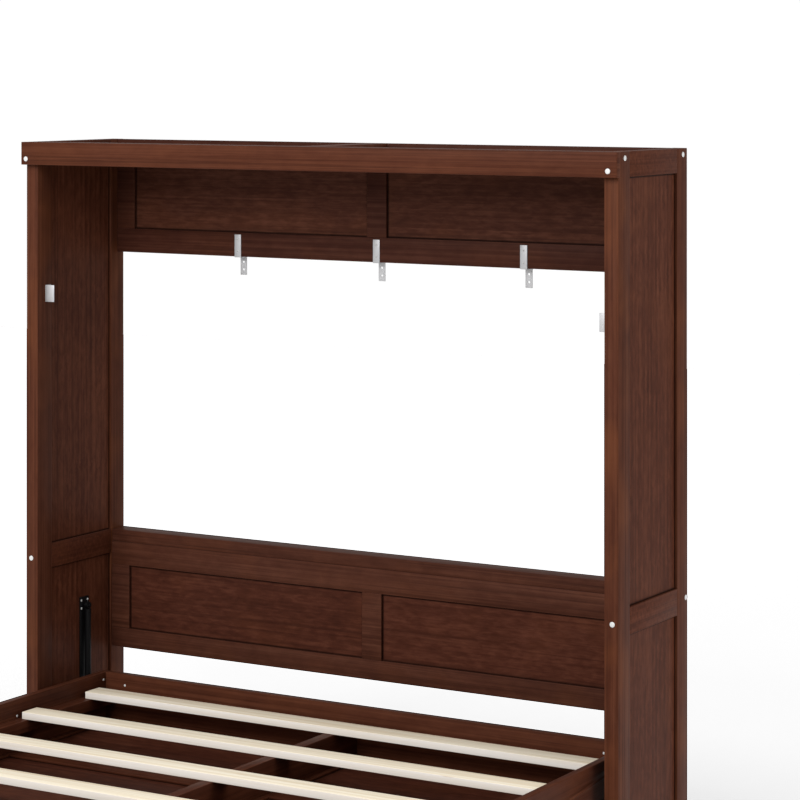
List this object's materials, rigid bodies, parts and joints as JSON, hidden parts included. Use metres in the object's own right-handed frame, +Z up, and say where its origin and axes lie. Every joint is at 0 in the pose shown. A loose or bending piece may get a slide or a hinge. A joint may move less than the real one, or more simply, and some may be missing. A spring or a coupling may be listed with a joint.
{
  "type": "wall bed",
  "caption": "Wall bed that folds up sideways into a panelled wooden cabinet with an open back; open, with its slatted frame on a folding leg frame.",
  "frame": {"origin": "on the floor, at the middle of the open bed's bounding box", "axes": "+Z up, +Y towards the wall behind the cabinet, +X along the cabinet's width to the right as seen from the bed's free side"},
  "size_m": [2.272, 1.781, 2.27],
  "materials": {
    "walnut": "satin walnut-coloured wood with fine straight figure",
    "pale_slats": "pale unfinished softwood",
    "light_steel": "light grey steel",
    "black_metal": "black satin paint",
    "white_caps": "off-white gloss",
    "polished_rod": "polished",
    "pad_rubber": "dark rubber"
  },
  "bodies": {
    "cabinet": {"cabinet_caps": "white_caps", "left_side_bottom_rail": "walnut", "left_side_front_stile": "walnut", "left_side_lower_panel": "walnut", "left_side_middle_rail": "walnut", "left_side_rear_stile": "walnut", "left_side_top_rail": "walnut", "left_side_upper_panel": "walnut", "lift_plates": "black_metal", "lower_back_beam": "walnut", "lower_back_bottom_rail": "walnut", "lower_back_panels": "walnut", "lower_back_stiles": "walnut", "lower_back_top_rail": "walnut", "pivot_bearings": "black_metal", "right_side_bottom_rail": "walnut", "right_side_front_stile": "walnut", "right_side_lower_panel": "walnut", "right_side_middle_rail": "walnut", "right_side_rear_stile": "walnut", "right_side_top_rail": "walnut", "right_side_upper_panel": "walnut", "screw_heads": "white_caps", "stop_plates": "light_steel", "top_cross_board": "walnut", "top_front_board": "walnut", "top_front_rail": "walnut", "top_panels": "walnut", "upper_back_bottom_rail": "walnut", "upper_back_panels": "walnut", "upper_back_stiles": "walnut", "upper_back_top_rail": "walnut", "wall_brackets": "light_steel"},
    "bed": {"bed_caps": "white_caps", "bed_foot_rail": "walnut", "bed_head_rail": "walnut", "bed_left_rail": "walnut", "bed_middle_beam": "walnut", "bed_right_rail": "walnut", "bed_slats": "pale_slats", "face_foot_rail": "walnut", "face_head_rail": "walnut", "face_middle_rails": "walnut", "face_middle_stiles": "walnut", "face_panels": "walnut", "face_side_stiles": "walnut", "slat_ledgers": "walnut", "pivot_arms": "light_steel", "leg_hinges": "light_steel"},
    "legs": {"left_leg": "walnut", "right_leg": "walnut", "leg_stretcher": "walnut", "leg_pads": "pad_rubber"},
    "left_lift_cylinder_body": {"left_lift_cylinder": "black_metal"},
    "left_lift_rod_body": {"left_lift_rod": "polished_rod"},
    "right_lift_cylinder_body": {"right_lift_cylinder": "black_metal"},
    "right_lift_rod_body": {"right_lift_rod": "polished_rod"}
  },
  "joints": [
    {"name": "bed_fold", "type": "hinge", "parent": "cabinet", "child": "bed", "pos_m": [0, 0.563, 0.36], "axis": [-1, 0, 0], "range_deg": [0, 90]},
    {"name": "leg_fold", "type": "hinge", "parent": "bed", "child": "legs", "pos_m": [0, -0.8185, 0.199], "axis": [1, 0, 0], "range_deg": [0, 90]},
    {"name": "left_lift_tilt", "type": "hinge", "parent": "cabinet", "child": "left_lift_cylinder_body", "pos_m": [-1.073, 0.6675, 0.637], "axis": [-1, 0, 0], "range_deg": [0, 15.72]},
    {"name": "left_lift_slide", "type": "slide", "parent": "left_lift_cylinder_body", "child": "left_lift_rod_body", "axis": [0, 0, -1], "range_m": [0, 0.1206]},
    {"name": "right_lift_tilt", "type": "hinge", "parent": "cabinet", "child": "right_lift_cylinder_body", "pos_m": [1.073, 0.6675, 0.637], "axis": [-1, 0, 0], "range_deg": [0, 15.72]},
    {"name": "right_lift_slide", "type": "slide", "parent": "right_lift_cylinder_body", "child": "right_lift_rod_body", "axis": [0, 0, -1], "range_m": [0, 0.1206]}
  ],
  "couplings": [
    {"joint": "left_lift_tilt", "follows": "bed_fold", "ratio": 0.17021},
    {"joint": "left_lift_slide", "follows": "bed_fold", "m_per_rad": 0.075473},
    {"joint": "right_lift_tilt", "follows": "bed_fold", "ratio": 0.17021},
    {"joint": "right_lift_slide", "follows": "bed_fold", "m_per_rad": 0.075473}
  ]
}
